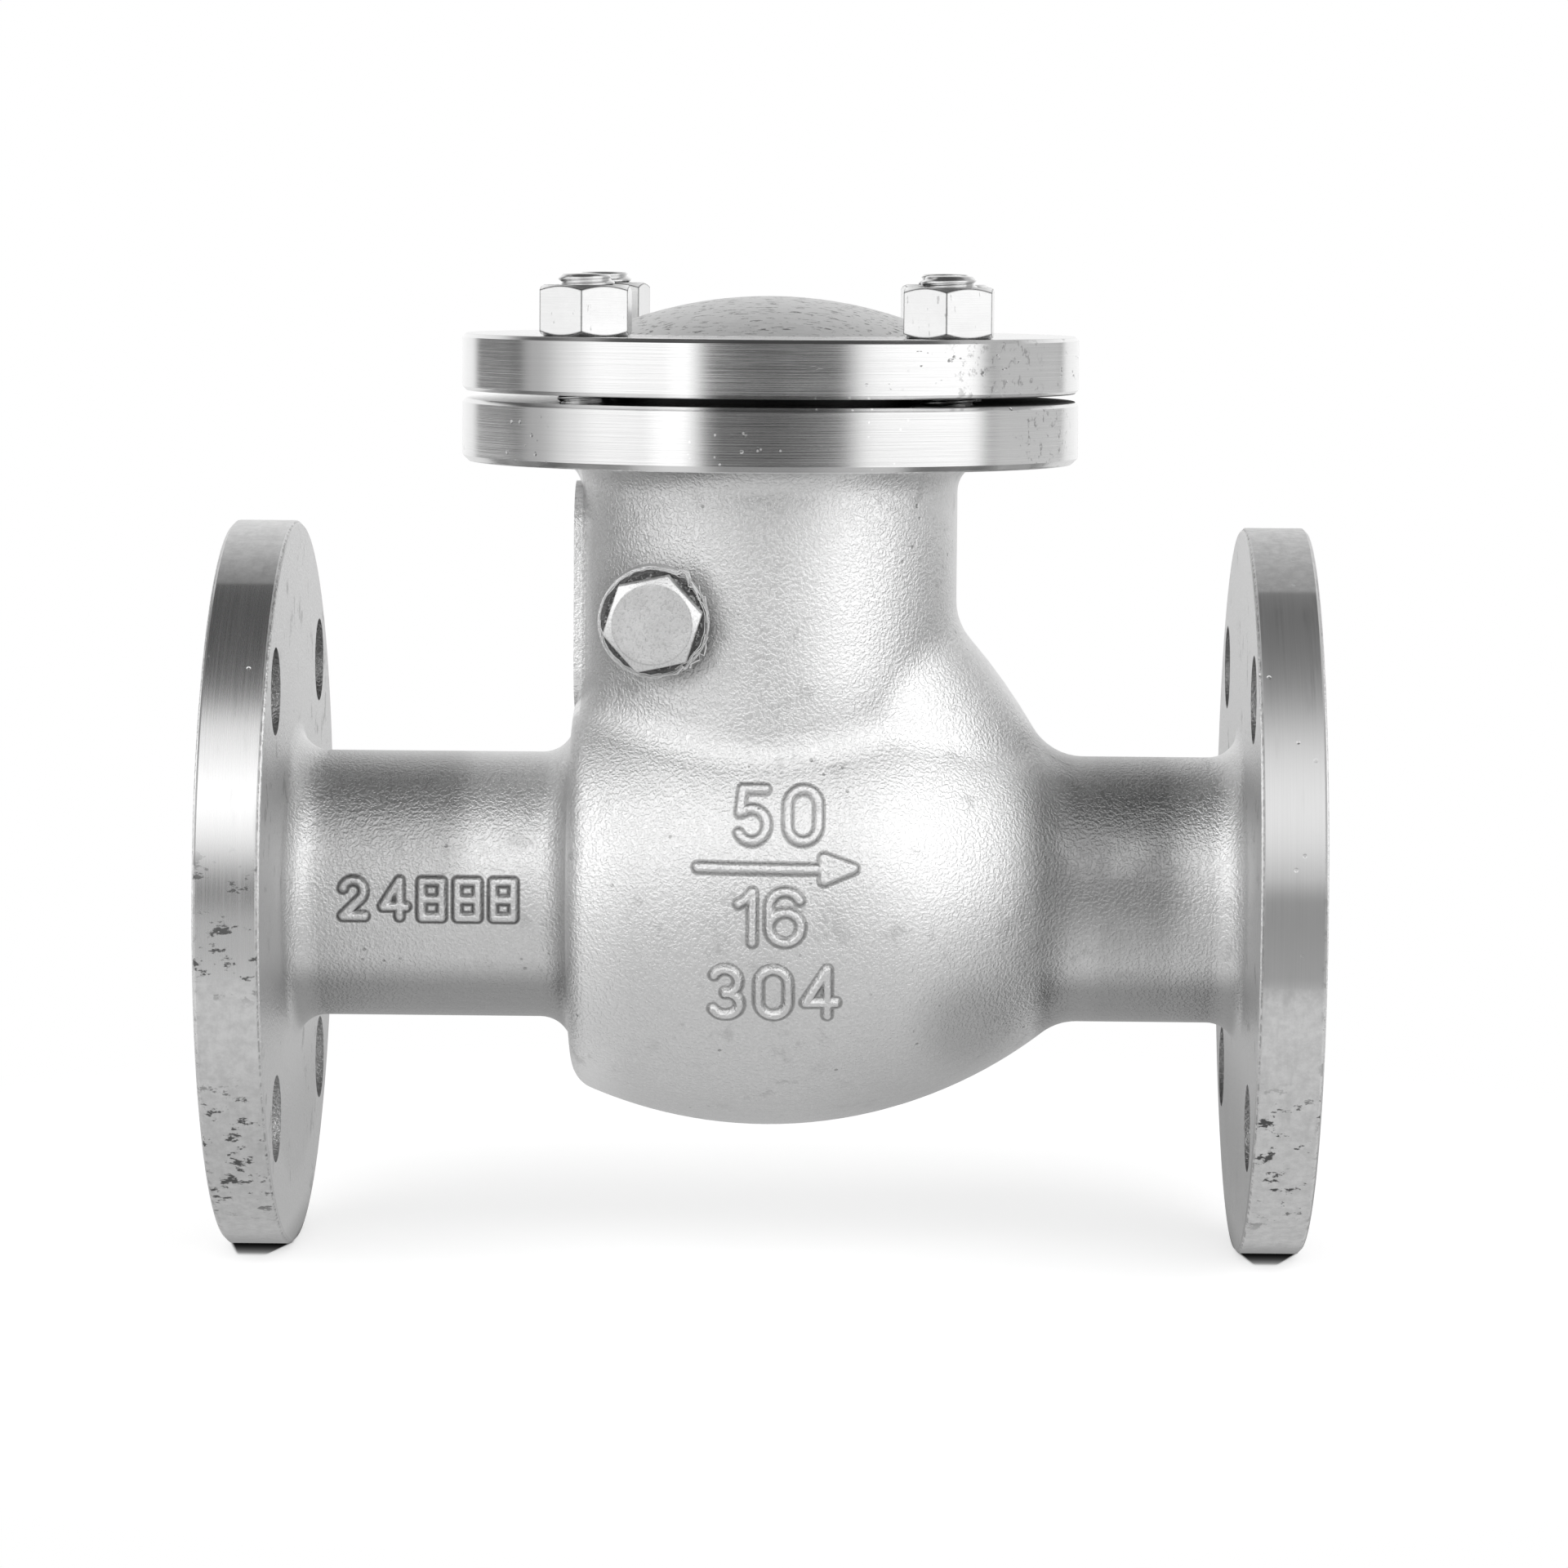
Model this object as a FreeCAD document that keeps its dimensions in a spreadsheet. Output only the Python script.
import FreeCAD, Part
import math
import os

import Sketcher

# Flanged swing check valve with a bolted cover, millimetres.
# The origin is the centre of the inlet's sealing face, +X runs with the flow and +Z points to the cover.

DIMENSIONS = [
    ("face_to_face", 230.0, "inlet sealing face to outlet sealing face"),
    ("flange_dia", 154.0, "end flange"),
    ("flange_thick", 15.0, "end flange with its raised face"),
    ("raised_in", 13.0, "bolt circle in to the raised face's edge"),
    ("raised_high", 1.5, "height of the raised sealing face"),
    ("flange_edge", 0.8, "chamfer on the end flanges' rims"),
    ("flange_root", 6.5, "round between an end flange and its neck"),
    ("bolt_in", 14.5, "end flange's rim in to the bolt circle"),
    ("bolt_hole", 18.0, "bolt hole of the end flanges"),
    ("flow_dia", 49.0, "bore of inlet, seat and outlet"),
    ("pipe_wall", 3.7, "wall of the inlet and outlet necks"),
    ("bulb_dia", 101.4, "widest outside diameter of the bulb"),
    ("bulb_arc", 96.0, "radius of the bulb's long outline"),
    ("bulb_wall", 4.6, "wall of the bulb and the shoulder"),
    ("bulkhead_back", 41.0, "bonnet axis back to the bulb's inlet end"),
    ("bulkhead_wall", 5.5, "wall of the bulb's inlet end"),
    ("bulkhead_edge", 6.5, "outside round of the bulb's inlet end"),
    ("bulkhead_root", 7.0, "round between inlet neck and bulb"),
    ("outlet_root", 12.0, "round between bulb and outlet neck"),
    ("shoulder_dia", 65.0, "widest diameter of the outlet shoulder"),
    ("shoulder_arc", 130.0, "radius of the shoulder's long outline"),
    ("shoulder_tilt", 51.0, "shoulder axis below the flow axis, degrees"),
    ("shoulder_out", 20.2, "bonnet axis to the middle of the shoulder"),
    ("shoulder_high", 29.5, "flow axis to the middle of the shoulder"),
    ("shoulder_rise", 30.0, "shoulder's middle up to its upper end"),
    ("shoulder_drop", 26.0, "shoulder's middle down to its lower end"),
    ("neck_dia", 79.4, "outside of the bonnet neck"),
    ("neck_wall", 4.7, "wall of the bonnet neck"),
    ("neck_floor", 20.0, "flow axis up to the floor of the neck's bore"),
    ("neck_root", 6.0, "round between neck and bonnet flange"),
    ("crease_round", 12.5, "round between neck, bulb and shoulder"),
    ("bonnet_dia", 130.0, "bonnet flange and cover"),
    ("bonnet_base", 90.4, "flow axis to the bonnet flange's underside"),
    ("bonnet_thick", 13.1, "bonnet flange"),
    ("bonnet_edge", 1.3, "chamfer on the bonnet flange's lower rim"),
    ("cover_edge", 0.8, "chamfer on the cover's rims and the flange's top rim"),
    ("bonnet_circle", 105.0, "bolt circle of the cover"),
    ("gasket_thick", 1.7, "sheet gasket"),
    ("gasket_inset", 1.0, "gasket's hole wider than the neck's bore, radial"),
    ("gasket_width", 8.5, "radial width of the gasket"),
    ("cover_thick", 11.9, "cover at its rim"),
    ("dome_dia", 74.0, "cover's dome at its foot"),
    ("dome_rise", 8.1, "height of the dome over the rim"),
    ("dome_root", 3.0, "round at the dome's foot"),
    ("hollow_inset", 2.0, "cover's hollow narrower than the neck's bore, radial"),
    ("dome_wall", 9.0, "wall of the cover at its middle"),
    ("stud_dia", 12.0, "bonnet studs and hinge plug"),
    ("stud_out", 2.4, "stud's end above its nut"),
    ("stud_clear", 0.8, "radial play of the studs in the cover"),
    ("nut_across", 18.0, "nut and plug across flats"),
    ("nut_high", 10.5, "bonnet nut"),
    ("nut_crown", 0.95, "flat circle on a nut as a share of its width"),
    ("plug_crown", 0.91, "flat circle on the plug's head as a share of its width"),
    ("stud_bevel", 1.0, "bevel on the studs' ends"),
    ("thread_fit", 0.1, "radial gap left between a thread and its hole"),
    ("gate_out", 1.2, "how far the ground gate scar stands out of the neck"),
    ("gate_wide", 20.0, "width of the gate scar"),
    ("gate_low", 47.0, "flow axis to the gate scar's lower centre"),
    ("gate_high", 76.0, "flow axis to the gate scar's upper centre"),
    ("hinge_in", 12.2, "neck's inner wall in to the hinge pin"),
    ("hinge_high", 58.9, "flow axis up to the hinge pin"),
    ("hinge_boss_dia", 23.0, "outside bosses at the hinge pin's ends"),
    ("front_boss_out", 8.5, "how far the front boss stands out of the neck"),
    ("rear_boss_out", 4.5, "how far the rear boss stands out of the neck"),
    ("lug_dia", 17.0, "inside lugs round the hinge pin"),
    ("lug_reach", 17.0, "length of the inside lugs"),
    ("lug_gap", 0.5, "side play of the arm between the lugs"),
    ("pin_dia", 8.0, "hinge pin"),
    ("pin_fit", 0.1, "radial play of the hinge pin"),
    ("pin_bevel", 0.6, "bevel on the hinge pin's ends"),
    ("end_gap", 0.3, "end play of the hinge pin and the plug"),
    ("pin_end", 3.5, "metal left behind the hinge pin's blind hole"),
    ("plug_reach", 8.0, "plug's thread below the boss's face"),
    ("plug_head", 8.0, "plug's head"),
    ("seal_thick", 0.8, "tape squeezed under the plug's head"),
    ("seal_dia", 20.0, "tape ring under the plug's head"),
    ("seat_back", 26.0, "bonnet axis back to the seat's face"),
    ("seat_width", 6.0, "radial width of the seat's rim"),
    ("seat_gap", 0.1, "disc's seal off the seat at rest"),
    ("disc_dia", 58.0, "valve disc"),
    ("disc_thick", 7.0, "valve disc"),
    ("disc_edge", 1.0, "chamfer of the disc"),
    ("disc_dish", 1.5, "dish in the disc's face"),
    ("seal_lip", 0.4, "metal lip inside the soft ring, over the seat's bore"),
    ("disc_seal_wide", 2.6, "radial width of the disc's soft ring"),
    ("seal_fit", 0.05, "play of the soft ring in its groove"),
    ("disc_seal_deep", 3.0, "depth of the disc's soft ring"),
    ("stub_dia", 10.0, "disc's stub through the arm's eye"),
    ("stub_fit", 0.1, "radial play of the stub in the eye"),
    ("disc_play", 0.4, "end play of the disc in the arm"),
    ("stub_out", 4.0, "stub's end past its nut"),
    ("hub_dia", 14.0, "arm's hub"),
    ("hub_wide", 26.0, "arm's hub along the pin"),
    ("arm_wide", 13.0, "arm's web along the pin"),
    ("arm_thick", 7.0, "arm's eye and web"),
    ("eye_dia", 24.0, "arm's eye"),
    ("arm_over_disc", 3.0, "height over the disc at which the web clears it"),
    ("disc_washer_dia", 20.0, "washer behind the eye"),
    ("disc_washer_thick", 1.5, "washer behind the eye"),
    ("disc_nut_across", 16.0, "nut on the stub across flats"),
    ("disc_nut_high", 6.0, "nut on the stub"),
    ("split_dia", 1.8, "split pin's shank"),
    ("split_over", 1.2, "split pin's shank past the stub"),
    ("split_leg", 3.5, "split pin's bent legs"),
    ("split_hole", 2.1, "split pin's hole in the stub"),
]

# Turn of each bonnet nut from one corner facing the front, degrees.
NUT_TURNS = [-2.0, -3.5, 8.0, -11.0]
PLUG_TURN = -18.0
HOLES = 4
HALF_ROUND = None
CUT_OVER = 1.0


class Size:
    """A size with its value and the formula of sheet cells that drives it."""

    def __init__(self, value, text):
        self.value = value
        self.text = text

    @staticmethod
    def of(other):
        if isinstance(other, Size):
            return other
        return Size(float(other), "%.10g" % other)

    def join(self, sign, other, value):
        return Size(value, "(%s %s %s)" % (self.text, sign, other.text))

    def __add__(self, other):
        other = Size.of(other)
        return self.join("+", other, self.value + other.value)

    def __sub__(self, other):
        other = Size.of(other)
        return self.join("-", other, self.value - other.value)

    def __mul__(self, other):
        other = Size.of(other)
        return self.join("*", other, self.value * other.value)

    def __truediv__(self, other):
        other = Size.of(other)
        return self.join("/", other, self.value / other.value)

    def __neg__(self):
        return Size.of(0) - self


def root(size):
    return Size(math.sqrt(size.value), "sqrt(%s)" % size.text)


def cosine(size):
    return Size(math.cos(math.radians(size.value)), "cos(%s * 1 deg)" % size.text)


def sine(size):
    return Size(math.sin(math.radians(size.value)), "sin(%s * 1 deg)" % size.text)


doc = FreeCAD.newDocument("swing_check_valve")
sheet = doc.addObject("Spreadsheet::Sheet", "sizes")
for row, (alias, value, meaning) in enumerate(DIMENSIONS, start=1):
    sheet.set("A%d" % row, meaning)
    sheet.set("B%d" % row, "%.6g" % value)
    sheet.setAlias("B%d" % row, alias)
doc.recompute()


def size(alias):
    return Size(float(sheet.get(alias)), "sizes.%s" % alias)


def new_body(label):
    body = doc.addObject("PartDesign::Body", label)
    body.Label = label
    return body


def origin_plane(body, role):
    return [item for item in body.Origin.OriginFeatures if item.Role == role][0]


def new_sketch(body, name, role, offset=None):
    sketch = body.newObject("Sketcher::SketchObject", name)
    sketch.AttachmentSupport = [(origin_plane(body, role), "")]
    sketch.MapMode = "FlatFace"
    if offset is not None:
        sketch.setExpression("AttachmentOffset.Base.z", offset.text)
    return sketch


def tie(sketch, kind, first, second, wanted):
    """One driven constraint; first and second are (geometry, point) pairs."""
    numbers = list(first) + (list(second) if second else [])
    index = sketch.addConstraint(Sketcher.Constraint(kind, *numbers, wanted.value))
    sketch.setExpression("Constraints[%d]" % index, wanted.text)


def arc_between(start, end, radius, side):
    """The short arc from start to end; side 1 bulges to the left of the way, -1 to its right."""
    chord = end - start
    middle = (start + end) * 0.5
    left = FreeCAD.Vector(-chord.y, chord.x, 0).normalize()
    half = chord.Length / 2
    rise = radius - math.sqrt(max(radius ** 2 - half ** 2, 0))
    return Part.Arc(start, middle + left * side * rise, end)


def draw_outline(sketch, corners, arcs=None):
    """A closed outline with every corner driven; arcs maps a side's number to (radius, bulge).

    A HALF_ROUND side is a half circle between two corners of one height.
    """
    arcs = arcs or {}
    origin = (-1, 1)
    points = [FreeCAD.Vector(x.value, y.value, 0) for x, y in corners]
    ends = []
    for number, start in enumerate(points):
        end = points[(number + 1) % len(points)]
        if number in arcs:
            radius, side = arcs[number]
            reach = start.distanceToPoint(end) / 2 if radius is HALF_ROUND else radius.value
            index = sketch.addGeometry(arc_between(start, end, reach, side), False)
            forward = sketch.getPoint(index, 1).distanceToPoint(start) < 1e-6
            ends.append(((index, 1), (index, 2)) if forward else ((index, 2), (index, 1)))
        else:
            index = sketch.addGeometry(Part.LineSegment(start, end), False)
            ends.append(((index, 1), (index, 2)))
    for number, (x, y) in enumerate(corners):
        tie(sketch, "DistanceX", origin, ends[number][0], x)
        tie(sketch, "DistanceY", origin, ends[number][0], y)
        following = ends[(number + 1) % len(ends)][0]
        sketch.addConstraint(Sketcher.Constraint("Coincident", *ends[number][1], *following))
        if number in arcs and arcs[number][0] is HALF_ROUND:
            tie(sketch, "DistanceY", origin, (ends[number][0][0], 3), y)
        elif number in arcs:
            tie(sketch, "Radius", (ends[number][0][0],), None, arcs[number][0])


def draw_circle(sketch, x, y, radius):
    center = FreeCAD.Vector(x.value, y.value, 0)
    circle = Part.Circle(center, FreeCAD.Vector(0, 0, 1), radius.value)
    index = sketch.addGeometry(circle, False)
    tie(sketch, "DistanceX", (-1, 1), (index, 3), x)
    tie(sketch, "DistanceY", (-1, 1), (index, 3), y)
    tie(sketch, "Radius", (index,), None, radius)


def hexagon(across):
    """Corners of a hexagon about the origin, one of them straight down."""
    reach = across / (2 * math.cos(math.radians(30)))
    turns = [math.radians(60 * number - 90) for number in range(6)]
    return [(reach * math.cos(turn), reach * math.sin(turn)) for turn in turns]


def finish_feature(feature, cut):
    """Recompute, and see that a cut really took something away."""
    doc.recompute()
    if cut and feature.Shape.Volume > feature.BaseFeature.Shape.Volume - 0.01:
        raise RuntimeError("%s cuts nothing" % feature.Name)
    return feature


def turn_sketch(body, name, sketch, axis, cut=False):
    feature = body.newObject("PartDesign::Groove" if cut else "PartDesign::Revolution", name)
    feature.Profile = sketch
    feature.ReferenceAxis = (sketch, [axis])
    feature.Angle = 360.0
    return finish_feature(feature, cut)


def revolve(body, name, corners, axis="V_Axis", arcs=None, cut=False):
    sketch = new_sketch(body, name + "_profile", "XZ_Plane")
    draw_outline(sketch, corners, arcs)
    return turn_sketch(body, name, sketch, axis, cut)


def extrude(body, name, sketch, length, cut=False, reverse=False, middle=False):
    kind = "PartDesign::Pocket" if cut else "PartDesign::Pad"
    feature = body.newObject(kind, name)
    feature.Profile = sketch
    feature.setExpression("Length", length.text)
    feature.Reversed = reverse
    feature.Midplane = middle
    return finish_feature(feature, cut)


def round_edges(body, name, base, edges, radius):
    feature = body.newObject("PartDesign::Fillet", name)
    feature.Base = (base, edges)
    feature.setExpression("Radius", radius.text)
    doc.recompute()
    return feature


def find_edges(shape, test):
    return ["Edge%d" % number for number, edge in enumerate(shape.Edges, start=1) if test(edge)]


def spin_pattern(body, name, feature, axis_sketch, axis):
    pattern = body.newObject("PartDesign::PolarPattern", name)
    pattern.Originals = [feature]
    pattern.Axis = (axis_sketch, [axis])
    pattern.Angle = 360.0
    pattern.Occurrences = HOLES
    body.Tip = pattern
    doc.recompute()
    return pattern


def place(body, x=None, y=None, z=None, axis=None, turn=0.0):
    if axis is not None:
        body.Placement.Rotation = FreeCAD.Rotation(axis, turn)
    for letter, amount in (("x", x), ("y", y), ("z", z)):
        if amount is not None:
            body.setExpression("Placement.Base.%s" % letter, amount.text)


X_WAY = FreeCAD.Vector(1, 0, 0)
Y_WAY = FreeCAD.Vector(0, 1, 0)
Z_WAY = FreeCAD.Vector(0, 0, 1)
ZERO = Size.of(0)

# Places that several pieces share.
bonnet_x = size("face_to_face") / 2
neck_radius = size("neck_dia") / 2
neck_bore = neck_radius - size("neck_wall")
bore_radius = size("flow_dia") / 2
pipe_radius = bore_radius + size("pipe_wall")
bulb_radius = size("bulb_dia") / 2
inner_bulb = bulb_radius - size("bulb_wall")
inner_arc = size("bulb_arc") - size("bulb_wall")
bonnet_top = size("bonnet_base") + size("bonnet_thick")
gasket_top = bonnet_top + size("gasket_thick")
cover_top = gasket_top + size("cover_thick")
nut_top = cover_top + size("nut_high")
stud_hole = size("stud_dia") / 2
stud_radius = stud_hole - size("thread_fit")
seat_x = bonnet_x - size("seat_back")
hinge_back = neck_bore - size("hinge_in")
hinge_x = bonnet_x - hinge_back
boss_foot = root(neck_radius * neck_radius - hinge_back * hinge_back)
front_boss_face = boss_foot + size("front_boss_out")
rear_boss_face = boss_foot + size("rear_boss_out")
bolt_circle_radius = size("flange_dia") / 2 - size("bolt_in")
raised_radius = bolt_circle_radius - size("raised_in")
pin_radius = size("pin_dia") / 2
pin_bore = pin_radius + size("pin_fit")
plug_end = front_boss_face - size("plug_reach")
blind_end = rear_boss_face - size("pin_end")
lug_face = size("hub_wide") / 2 + size("lug_gap")
disc_face = seat_x + size("seat_gap")
eye_front = size("disc_thick") + size("disc_play") / 2
eye_back = eye_front + size("arm_thick")
washer_front = eye_back + size("disc_play") / 2
nut_front = washer_front + size("disc_washer_thick")
nut_back = nut_front + size("disc_nut_high")
stub_end = nut_back + size("stub_out")
stub_radius = size("stub_dia") / 2
split_x = nut_back + size("stub_out") / 2
stud_reach = size("bonnet_circle") / 2 * math.sqrt(0.5)
seal_inner = bore_radius + size("seal_lip")
seal_outer = seal_inner + size("disc_seal_wide")


def arc_height(radius, arc, away):
    """Height over the axis of an outline arc with its crown at radius, at a distance from the crown."""
    return radius - arc + root(arc * arc - away * away)


def arc_reach(radius, arc, height):
    """Distance from the crown at which that outline comes down to a height."""
    drop = height - radius + arc
    return root(arc * arc - drop * drop)


def build_valve_body():
    body = new_body("valve_body")
    add_outside(body)
    hollow_inside(body)
    add_seat_and_lugs(body)
    drill_holes(body)
    return body


def flow_outline():
    """Outside of flanges, necks and bulb over the flow axis."""
    rim = size("flange_dia") / 2
    face = raised_radius
    edge = size("flange_edge")
    high = size("raised_high")
    thick = size("flange_thick")
    total = size("face_to_face")
    bulkhead_x = bonnet_x - size("bulkhead_back")
    bulkhead_high = arc_height(bulb_radius, size("bulb_arc"), size("bulkhead_back"))
    arc = size("bulb_arc")
    turn = size("outlet_root")
    over = pipe_radius + turn + arc - bulb_radius
    root_out = root((arc + turn) * (arc + turn) - over * over)
    share = arc / (arc + turn)
    bulb_end = (bonnet_x + root_out * share, bulb_radius - arc + over * share)
    inlet = [
        (ZERO, ZERO),
        (ZERO, face),
        (high, face),
        (high, rim - edge),
        (high + edge, rim),
        (thick - edge, rim),
        (thick, rim - edge),
        (thick, pipe_radius),
        (bulkhead_x, pipe_radius),
        (bulkhead_x, bulkhead_high),
    ]
    outlet = [(total - x, y) for x, y in reversed(inlet[:8])]
    corners = inlet + [bulb_end, (bonnet_x + root_out, pipe_radius)] + outlet
    return corners, {len(inlet) - 1: (arc, 1), len(inlet): (turn, -1)}


def neck_outline():
    """Outside of bonnet neck and bonnet flange beside the bonnet axis."""
    rim = size("bonnet_dia") / 2
    base = size("bonnet_base")
    low = size("bonnet_edge")
    high = size("cover_edge")
    return [
        (bonnet_x, ZERO),
        (bonnet_x + neck_radius, ZERO),
        (bonnet_x + neck_radius, base),
        (bonnet_x + rim - low, base),
        (bonnet_x + rim, base + low),
        (bonnet_x + rim, bonnet_top - high),
        (bonnet_x + rim - high, bonnet_top),
        (bonnet_x, bonnet_top),
    ]


def add_turned_part(body, name, corners, line, arcs=None, cut=False):
    """A turned form about any line of the middle plane, drawn as the sketch's first, construction, line."""
    sketch = new_sketch(body, name + "_profile", "XZ_Plane")
    start, end = [FreeCAD.Vector(x.value, y.value, 0) for x, y in line]
    index = sketch.addGeometry(Part.LineSegment(start, end), True)
    for point, (x, y) in zip((1, 2), line):
        tie(sketch, "DistanceX", (-1, 1), (index, point), x)
        tie(sketch, "DistanceY", (-1, 1), (index, point), y)
    draw_outline(sketch, corners, arcs)
    return turn_sketch(body, name, sketch, "Axis0", cut)


def upright(low, high):
    return [(bonnet_x, low), (bonnet_x, high)]


def add_shoulder(body, name, radius, arc, trim, cut):
    """The barrel that carries the bonnet neck over into the outlet."""
    tilt = size("shoulder_tilt")
    along = (cosine(tilt), -sine(tilt))
    across = (sine(tilt), cosine(tilt))
    middle = (bonnet_x + size("shoulder_out"), size("shoulder_high"))
    rise = size("shoulder_rise")
    drop = size("shoulder_drop") - trim

    def at(way, out):
        return tuple(middle[k] + along[k] * way + across[k] * out for k in (0, 1))

    start = at(-rise, ZERO)
    end = at(drop, ZERO)
    high = at(-rise, arc_height(radius, arc, rise))
    low = at(drop, arc_height(radius, arc, drop))
    return add_turned_part(body, name, [start, high, low, end], [start, end], {1: (arc, 1)}, cut)


def on_circle(edge, way, place_at, low, high):
    """True for a full or part circle about an axis along way, at a place on it, with a radius in a range."""
    if edge.Degenerated or not isinstance(edge.Curve, Part.Circle):
        return False
    curve = edge.Curve
    straight = abs(abs(curve.Axis.dot(way)) - 1) < 1e-6
    return straight and abs(curve.Center.dot(way) - place_at) < 0.02 and low < curve.Radius < high


def edge_points(edge):
    span = edge.LastParameter - edge.FirstParameter
    return [edge.valueAt(edge.FirstParameter + span * share / 6.0) for share in range(7)]


def is_crease(edge):
    """True for an edge in which neck, shoulder and bulb meet."""
    if edge.Degenerated:
        return False
    points = edge_points(edge)
    heights = [point.z for point in points]
    if min(heights) < pipe_radius.value or max(heights) > size("bonnet_base").value - 1:
        return False
    if max(abs(point.y) for point in points) < 1:
        return False
    return all(on_neck(point) for point in points) or all(on_bulb(point) for point in points)


def on_neck(point):
    return abs(math.hypot(point.x - bonnet_x.value, point.y) - neck_radius.value) < 0.02


def on_bulb(point):
    away = point.x - bonnet_x.value
    arc = size("bulb_arc").value
    if abs(away) >= arc:
        return False
    high = bulb_radius.value - arc + math.sqrt(arc ** 2 - away ** 2)
    return abs(math.hypot(point.y, point.z) - high) < 0.02


def add_outside(body):
    corners, arcs = flow_outline()
    flow_way = revolve(body, "flow_way", corners, "H_Axis", arcs)
    thick = size("flange_thick").value
    total = size("face_to_face").value
    rim = size("flange_dia").value / 2
    pipe = (pipe_radius.value - 0.01, pipe_radius.value + 0.01)
    bulkhead = (bonnet_x - size("bulkhead_back")).value

    def flange_root(edge):
        return any(on_circle(edge, X_WAY, x, *pipe) for x in (thick, total - thick))

    edges = find_edges(flow_way.Shape, flange_root)
    rounded = round_edges(body, "flange_roots", flow_way, edges, size("flange_root"))
    edges = find_edges(rounded.Shape, lambda edge: on_circle(edge, X_WAY, bulkhead, pipe[1], rim))
    rounded = round_edges(body, "bulb_edge", rounded, edges, size("bulkhead_edge"))
    edges = find_edges(rounded.Shape, lambda edge: on_circle(edge, X_WAY, bulkhead, *pipe))
    rounded = round_edges(body, "inlet_root", rounded, edges, size("bulkhead_root"))

    add_turned_part(body, "bonnet_neck", neck_outline(), upright(ZERO, bonnet_top))
    shoulder = add_shoulder(body, "shoulder", size("shoulder_dia") / 2, size("shoulder_arc"), ZERO, False)
    edges = find_edges(shoulder.Shape, is_crease)
    creases = round_edges(body, "creases", shoulder, edges, size("crease_round"))

    base = size("bonnet_base").value
    neck = (neck_radius.value - 0.01, neck_radius.value + 0.01)
    edges = find_edges(creases.Shape, lambda edge: on_circle(edge, Z_WAY, base, *neck))
    rooted = round_edges(body, "neck_root", creases, edges, size("neck_root"))

    scar = new_sketch(body, "gate_scar_profile", "YZ_Plane", bonnet_x)
    draw_slot(scar, size("gate_wide") / 2, size("gate_low"), size("gate_high"))
    extrude(body, "gate_scar", scar, neck_radius + size("gate_out"), reverse=True)
    for name, face, reverse in (
        ("front_boss", front_boss_face, False),
        ("rear_boss", rear_boss_face, True),
    ):
        circle = new_sketch(body, name + "_profile", "XZ_Plane")
        draw_circle(circle, hinge_x, size("hinge_high"), size("hinge_boss_dia") / 2)
        extrude(body, name, circle, face, reverse=reverse)


def draw_slot(sketch, radius, low, high):
    """An upright slot outline, round at both ends, about the sketch's upright axis."""
    corners = [(radius, low), (radius, high), (-radius, high), (-radius, low)]
    draw_outline(sketch, corners, {1: (HALF_ROUND, -1), 3: (HALF_ROUND, -1)})


def hollow_inside(body):
    """Inlet bore up to the chamber, the chamber round the seat, the outlet bore and the bonnet's neck."""
    total = size("face_to_face")
    wall_x = bonnet_x - size("bulkhead_back") + size("bulkhead_wall")
    inner_back = size("bulkhead_back") - size("bulkhead_wall")
    inner_high = arc_height(inner_bulb, inner_arc, inner_back)
    inner_end = arc_reach(inner_bulb, inner_arc, bore_radius)
    corners = [
        (ZERO, ZERO),
        (ZERO, bore_radius),
        (wall_x, bore_radius),
        (wall_x, inner_high),
        (bonnet_x + inner_end, bore_radius),
        (total, bore_radius),
        (total, ZERO),
    ]
    revolve(body, "flow_bore", corners, "H_Axis", {3: (inner_arc, 1)}, cut=True)
    floor = size("neck_floor")
    mouth = [
        (bonnet_x, floor),
        (bonnet_x + neck_bore, floor),
        (bonnet_x + neck_bore, bonnet_top),
        (bonnet_x, bonnet_top),
    ]
    add_turned_part(body, "neck_bore", mouth, upright(floor, bonnet_top), cut=True)
    inner = size("shoulder_dia") / 2 - size("bulb_wall")
    inside_arc = size("shoulder_arc") - size("bulb_wall")
    add_shoulder(body, "shoulder_bore", inner, inside_arc, size("bulb_wall") / 2, True)


def add_seat_and_lugs(body):
    ring = new_sketch(body, "seat_profile", "YZ_Plane", seat_x)
    draw_circle(ring, ZERO, ZERO, bore_radius)
    draw_circle(ring, ZERO, ZERO, bore_radius + size("seat_width"))
    reach = size("bulkhead_back") - size("seat_back") - size("bulkhead_wall") / 2
    extrude(body, "seat", ring, reach, reverse=True)
    for name, offset, reverse in (("front_lug", lug_face, False), ("rear_lug", -lug_face, True)):
        circle = new_sketch(body, name + "_profile", "XZ_Plane", offset)
        draw_circle(circle, hinge_x, size("hinge_high"), size("lug_dia") / 2)
        extrude(body, name, circle, size("lug_reach"), reverse=reverse)


def drill_round(body, name, role, offset, x, y, radius, length, reverse):
    """A round hole from a plane at an offset; reverse drills along the plane's normal."""
    circle = new_sketch(body, name + "_circle", role, offset)
    draw_circle(circle, x, y, radius)
    return circle, extrude(body, name, circle, length, cut=True, reverse=reverse)


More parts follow.
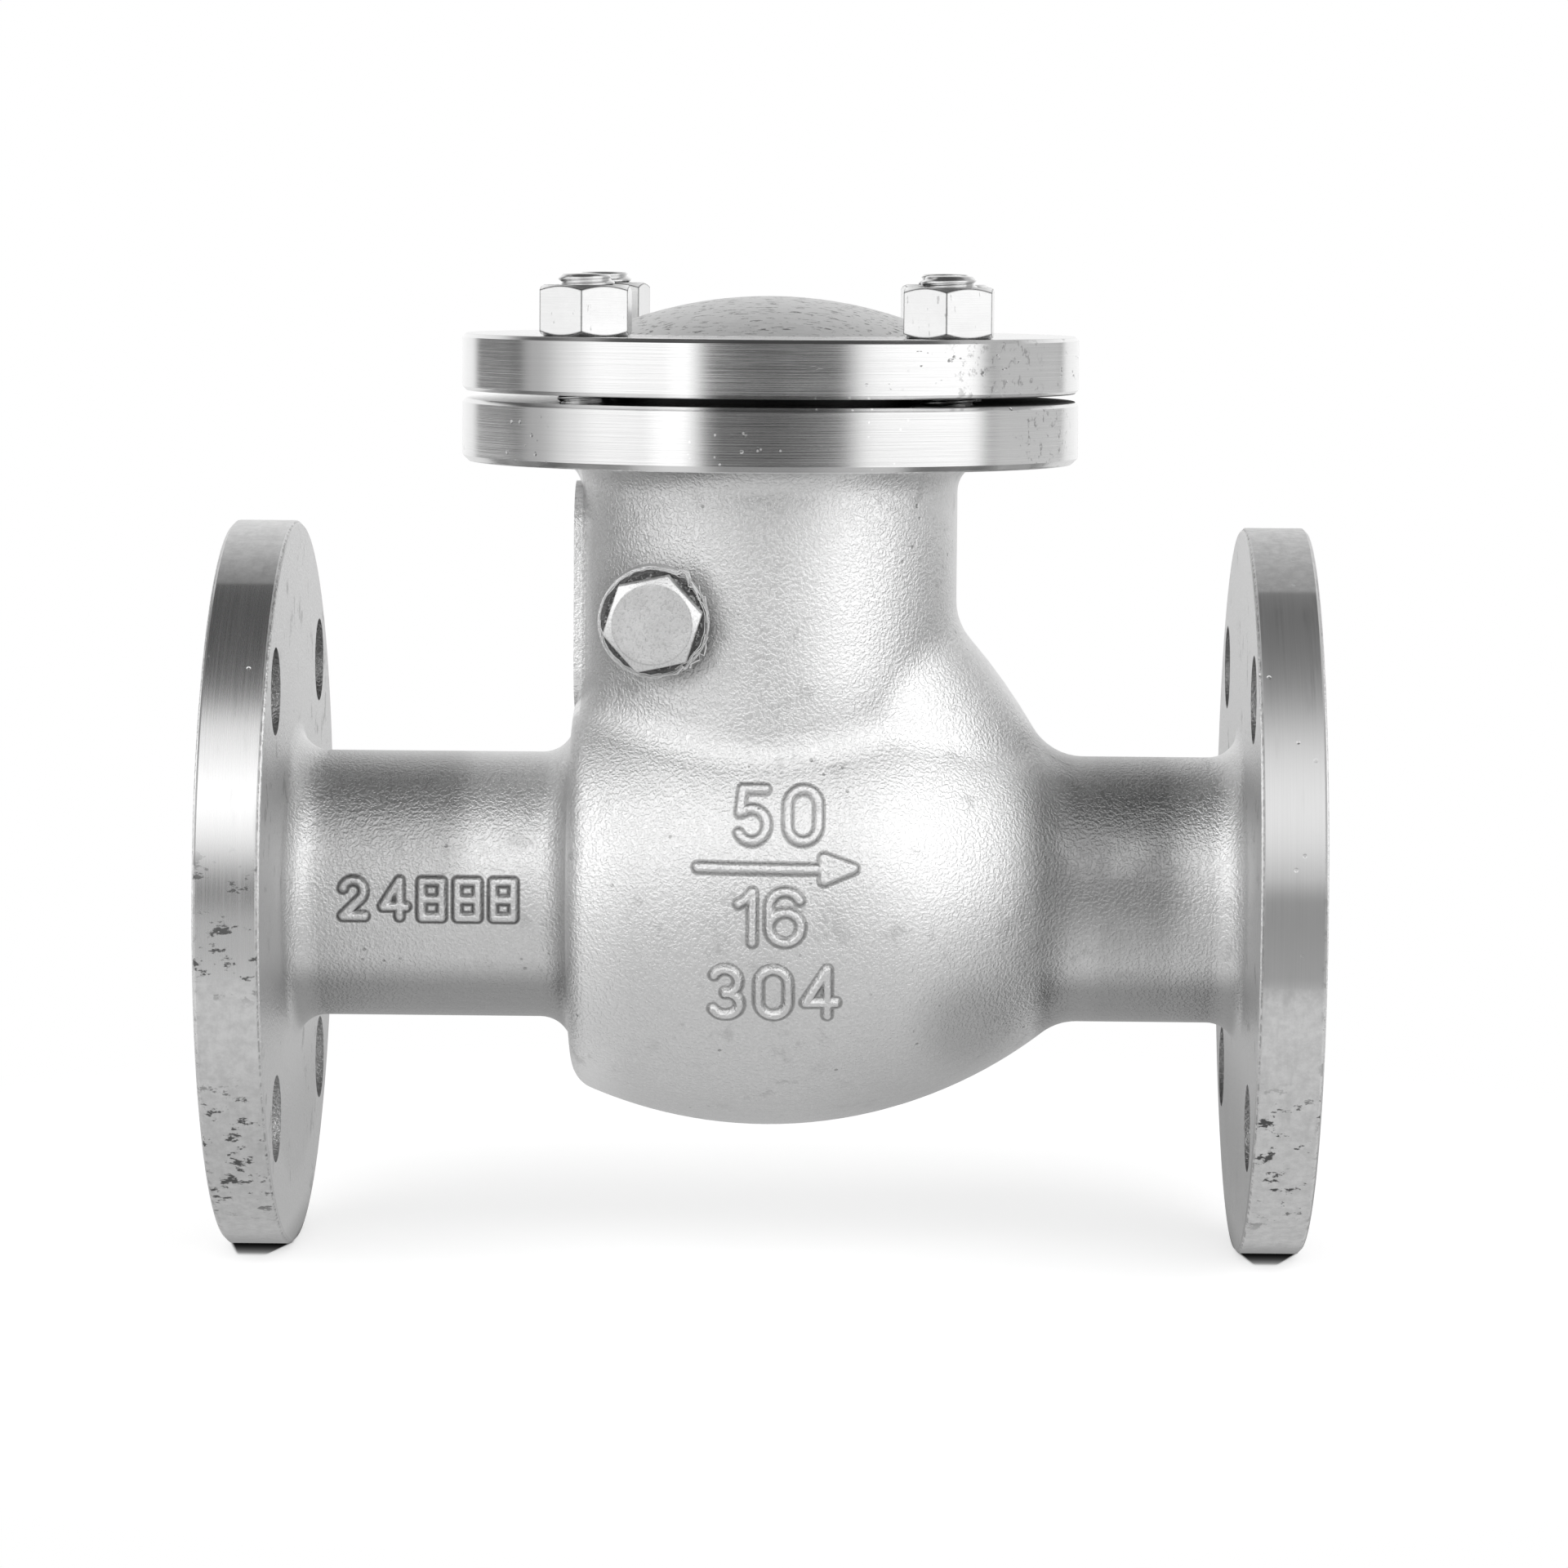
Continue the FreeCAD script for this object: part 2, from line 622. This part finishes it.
def drill_holes(body):
    thick = size("flange_thick")
    reach = bolt_circle_radius * math.sqrt(0.5)
    hole = size("bolt_hole") / 2
    for name, face, reverse in (
        ("inlet_bolt_hole", ZERO, True),
        ("outlet_bolt_hole", size("face_to_face"), False),
    ):
        circle, drilled = drill_round(body, name, "YZ_Plane", face, reach, reach, hole, thick, reverse)
        spin_pattern(body, name + "s", drilled, circle, "N_Axis")
    circle, drilled = drill_round(
        body, "stud_hole", "XY_Plane", bonnet_top, bonnet_x + stud_reach, stud_reach, stud_hole,
        size("bonnet_thick"), False)
    spin_pattern(body, "stud_holes", drilled, doc.getObject("bonnet_neck_profile"), "Axis0")
    high = size("hinge_high")
    front = front_boss_face
    drill_round(body, "plug_hole", "XZ_Plane", front, hinge_x, high, stud_hole, size("plug_reach"), False)
    drill_round(body, "pin_hole", "XZ_Plane", front, hinge_x, high, pin_bore, front + blind_end, False)


def build_bonnet_cover():
    """Round cover with a dome on top and a hollow of its own below."""
    body = new_body("bonnet_cover")
    rim = size("bonnet_dia") / 2
    edge = size("cover_edge")
    thick = size("cover_thick")
    foot = size("dome_dia") / 2
    top = thick + size("dome_rise")
    hollow = neck_bore - size("hollow_inset")
    deep = top - size("dome_wall")
    corners = [
        (ZERO, deep),
        (hollow, ZERO),
        (rim - edge, ZERO),
        (rim, edge),
        (rim, thick - edge),
        (rim - edge, thick),
        (foot, thick),
        (ZERO, top),
    ]
    dome = revolve(body, "dome", corners, "V_Axis", {
        0: (cap_radius(hollow, deep), 1),
        6: (cap_radius(foot, size("dome_rise")), -1),
    })
    near = (foot.value - 0.01, foot.value + 0.01)
    edges = find_edges(dome.Shape, lambda edge: on_circle(edge, Z_WAY, thick.value, *near))
    round_edges(body, "dome_root", dome, edges, size("dome_root"))
    circle, drilled = drill_round(
        body, "cover_hole", "XY_Plane", thick, stud_reach, stud_reach,
        stud_hole + size("stud_clear"), thick, False)
    spin_pattern(body, "cover_holes", drilled, circle, "N_Axis")
    place(body, x=bonnet_x, z=gasket_top)
    return body


def cap_radius(foot, rise):
    """Radius of a spherical cap from the radius of its foot and its height."""
    return (foot * foot + rise * rise) / (rise * 2)


def ring_corners(inner, outer, low, high):
    return [(inner, low), (outer, low), (outer, high), (inner, high)]


def build_bonnet_gasket():
    body = new_body("bonnet_gasket")
    inner = neck_bore + size("gasket_inset")
    outer = inner + size("gasket_width")
    revolve(body, "sheet_ring", ring_corners(inner, outer, ZERO, size("gasket_thick")))
    place(body, x=bonnet_x, z=bonnet_top)
    return body


def rod_corners(radius, low, high, bevel):
    """Half outline of a round rod along the upright axis, bevelled at both ends."""
    return [
        (ZERO, low),
        (radius - bevel, low),
        (radius, low + bevel),
        (radius, high - bevel),
        (radius - bevel, high),
        (ZERO, high),
    ]


def stud_places():
    """Front left, front right, rear right and rear left of the bonnet axis."""
    for across, along in ((-1, -1), (1, -1), (1, 1), (-1, 1)):
        yield bonnet_x + stud_reach * across, stud_reach * along


def build_bonnet_studs():
    bodies = []
    length = nut_top + size("stud_out") - size("bonnet_base")
    for number, (x, y) in enumerate(stud_places(), start=1):
        body = new_body("bonnet_stud_%d" % number)
        revolve(body, "stud_%d" % number, rod_corners(stud_radius, ZERO, length, size("stud_bevel")))
        place(body, x=x, y=y, z=size("bonnet_base"))
        bodies.append(body)
    return bodies


def add_hexagon(body, name, across, low, high, crown, both):
    """A hexagon along the upright axis with its top corners, or top and bottom corners, turned off."""
    sketch = new_sketch(body, name + "_outline", "XY_Plane", low)
    draw_outline(sketch, hexagon(across))
    extrude(body, name, sketch, high - low)
    flat = across / 2 * crown
    outer = across / (2 * math.cos(math.radians(30))) + CUT_OVER
    drop = (outer - flat) * math.tan(math.radians(30))
    revolve(body, name + "_top", [(flat, high), (outer, high), (outer, high - drop)], cut=True)
    if both:
        revolve(body, name + "_foot", [(flat, low), (outer, low), (outer, low + drop)], cut=True)


def add_bore(body, name, radius, low, high):
    sketch = new_sketch(body, name + "_circle", "XY_Plane", high)
    draw_circle(sketch, ZERO, ZERO, radius)
    extrude(body, name, sketch, high - low, cut=True)


def build_bonnet_nuts():
    bodies = []
    for number, ((x, y), turn) in enumerate(zip(stud_places(), NUT_TURNS), start=1):
        body = new_body("bonnet_nut_%d" % number)
        name = "nut_%d" % number
        add_hexagon(body, name, size("nut_across"), ZERO, size("nut_high"), size("nut_crown"), True)
        add_bore(body, name + "_bore", stud_hole, ZERO, size("nut_high"))
        place(body, x=x, y=y, z=cover_top, axis=Z_WAY, turn=turn)
        bodies.append(body)
    return bodies


def face_front(body, turn=0.0):
    """Turn a piece made upright so that its top looks to the front, -Y."""
    upended = FreeCAD.Rotation(X_WAY, 90)
    body.Placement.Rotation = upended.multiply(FreeCAD.Rotation(Z_WAY, turn))


def build_hinge_pin():
    body = new_body("hinge_pin")
    low = size("end_gap") - blind_end
    high = plug_end - size("end_gap")
    revolve(body, "pin_rod", rod_corners(pin_radius, low, high, size("pin_bevel")))
    face_front(body)
    place(body, x=hinge_x, z=size("hinge_high"))
    return body


def build_hinge_plug():
    body = new_body("hinge_plug")
    under = size("seal_thick")
    low = size("end_gap") - size("plug_reach")
    high = under + size("plug_head")
    add_hexagon(body, "plug_head", size("nut_across"), under, high, size("plug_crown"), False)
    bevel = size("stud_bevel")
    revolve(body, "plug_shank", [
        (ZERO, low),
        (stud_radius - bevel, low),
        (stud_radius, low + bevel),
        (stud_radius, under),
        (ZERO, under),
    ])
    face_front(body, PLUG_TURN)
    place(body, x=hinge_x, y=-front_boss_face, z=size("hinge_high"))
    return body


def build_plug_seal():
    body = new_body("plug_seal")
    revolve(body, "tape_ring", ring_corners(stud_hole, size("seal_dia") / 2, ZERO, size("seal_thick")))
    face_front(body)
    place(body, x=hinge_x, y=-front_boss_face, z=size("hinge_high"))
    return body


def build_disc_arm():
    """Hub on the pin, web down behind the disc's top edge, and an eye for the disc's stub."""
    body = new_body("disc_arm")
    front = disc_face - hinge_x + eye_front
    back = front + size("arm_thick")
    down = -size("hinge_high")
    hub = size("hub_dia") / 2
    above_disc = down + size("disc_dia") / 2 + size("arm_over_disc")
    hub_sketch = new_sketch(body, "hub_circle", "XZ_Plane")
    draw_circle(hub_sketch, ZERO, ZERO, hub)
    extrude(body, "hub", hub_sketch, size("hub_wide"), middle=True)
    web_sketch = new_sketch(body, "web_outline", "XZ_Plane")
    web = [
        (-hub * 0.6, -hub * 0.4),
        (front, above_disc),
        (front, down),
        (back, down),
        (back, above_disc),
        (hub * 0.9, hub * 0.1),
    ]
    draw_outline(web_sketch, web)
    extrude(body, "web", web_sketch, size("arm_wide"), middle=True)
    eye_sketch = new_sketch(body, "eye_circle", "YZ_Plane", front)
    draw_circle(eye_sketch, ZERO, down, size("eye_dia") / 2)
    extrude(body, "eye", eye_sketch, size("arm_thick"))
    bore_sketch = new_sketch(body, "eye_bore_circle", "YZ_Plane", back)
    draw_circle(bore_sketch, ZERO, down, stub_radius + size("stub_fit"))
    extrude(body, "eye_bore", bore_sketch, size("arm_thick"), cut=True)
    pin_sketch = new_sketch(body, "hub_bore_circle", "XZ_Plane")
    draw_circle(pin_sketch, ZERO, ZERO, pin_bore)
    extrude(body, "hub_bore", pin_sketch, size("hub_wide"), cut=True, middle=True)
    place(body, x=hinge_x, z=size("hinge_high"))
    return body


def build_valve_disc():
    body = new_body("valve_disc")
    rim = size("disc_dia") / 2
    edge = size("disc_edge")
    thick = size("disc_thick")
    dish = size("disc_dish")
    deep = size("disc_seal_deep")
    bevel = size("stud_bevel")
    corners = [
        (dish, ZERO),
        (dish, seal_inner - size("seal_lip") - dish),
        (ZERO, seal_inner - size("seal_lip")),
        (ZERO, seal_inner),
        (deep, seal_inner),
        (deep, seal_outer),
        (ZERO, seal_outer),
        (ZERO, rim - edge),
        (edge, rim),
        (thick - edge, rim),
        (thick, rim - edge),
        (thick, stub_radius),
        (stub_end - bevel, stub_radius),
        (stub_end, stub_radius - bevel),
        (stub_end, ZERO),
    ]
    revolve(body, "disc", corners, "H_Axis")
    circle = new_sketch(body, "split_hole_circle", "XY_Plane")
    draw_circle(circle, split_x, ZERO, size("split_hole") / 2)
    extrude(body, "split_hole", circle, size("stub_dia") + CUT_OVER, cut=True, middle=True)
    place(body, x=disc_face)
    return body


def build_disc_seal():
    body = new_body("disc_seal")
    fit = size("seal_fit")
    corners = [
        (ZERO, seal_inner + fit),
        (ZERO, seal_outer - fit),
        (size("disc_seal_deep"), seal_outer - fit),
        (size("disc_seal_deep"), seal_inner + fit),
    ]
    revolve(body, "soft_ring", corners, "H_Axis")
    place(body, x=disc_face)
    return body


def build_disc_washer():
    body = new_body("disc_washer")
    inner = stub_radius + size("stub_fit")
    outer = size("disc_washer_dia") / 2
    revolve(body, "flat_washer", ring_corners(inner, outer, ZERO, size("disc_washer_thick")))
    place(body, x=disc_face + washer_front, axis=Y_WAY, turn=90.0)
    return body


def build_disc_nut():
    body = new_body("disc_nut")
    high = size("disc_nut_high")
    add_hexagon(body, "stub_nut", size("disc_nut_across"), ZERO, high, size("nut_crown"), True)
    add_bore(body, "stub_nut_bore", stub_radius + size("thread_fit"), ZERO, high)
    place(body, x=disc_face + nut_front, axis=Y_WAY, turn=90.0)
    return body


def build_split_pin():
    """Shank through the stub, a ring head on one side and two bent legs on the other."""
    radius = size("split_dia") / 2
    over = stub_radius + size("split_over")
    shank = doc.addObject("Part::Cylinder", "split_shank")
    shank.setExpression("Radius", radius.text)
    shank.setExpression("Height", (over * 2).text)
    shank.setExpression("Placement.Base.z", (-over).text)
    head = doc.addObject("Part::Torus", "split_head")
    head.setExpression("Radius1", (radius * 1.8).text)
    head.setExpression("Radius2", (radius * 0.8).text)
    head.Placement.Rotation = FreeCAD.Rotation(Y_WAY, 90)
    head.setExpression("Placement.Base.z", (over + radius * 1.8).text)
    legs = []
    for name, turn in (("split_leg_right", 90.0), ("split_leg_left", -90.0)):
        leg = doc.addObject("Part::Cylinder", name)
        leg.setExpression("Radius", (radius * 0.8).text)
        leg.setExpression("Height", size("split_leg").text)
        leg.Placement.Rotation = FreeCAD.Rotation(X_WAY, turn)
        leg.setExpression("Placement.Base.z", (-over).text)
        legs.append(leg)
    pin = doc.addObject("Part::MultiFuse", "disc_split_pin")
    pin.Label = "disc_split_pin"
    pin.Shapes = [shank, head] + legs
    place(pin, x=disc_face + split_x)
    doc.recompute()
    return pin


def check_model(pieces):
    for item in doc.Objects:
        if "Invalid" in item.State or "Error" in item.State:
            raise RuntimeError("%s is in state %s" % (item.Label, item.State))
    for piece in pieces:
        shape = piece.Shape
        if shape.isNull() or not shape.isValid() or len(shape.Solids) != 1:
            raise RuntimeError("%s has no single valid solid" % piece.Label)


def main():
    pieces = [
        build_valve_body(),
        build_bonnet_cover(),
        build_bonnet_gasket(),
        *build_bonnet_studs(),
        *build_bonnet_nuts(),
        build_hinge_pin(),
        build_hinge_plug(),
        build_plug_seal(),
        build_disc_arm(),
        build_valve_disc(),
        build_disc_seal(),
        build_disc_washer(),
        build_disc_nut(),
        build_split_pin(),
    ]
    doc.recompute()
    check_model(pieces)
    os.makedirs("parts", exist_ok=True)
    for piece in pieces:
        piece.Shape.exportStep("parts/%s.step" % piece.Label)
        print("%-16s %10.1f mm3" % (piece.Label, piece.Shape.Volume))


main()
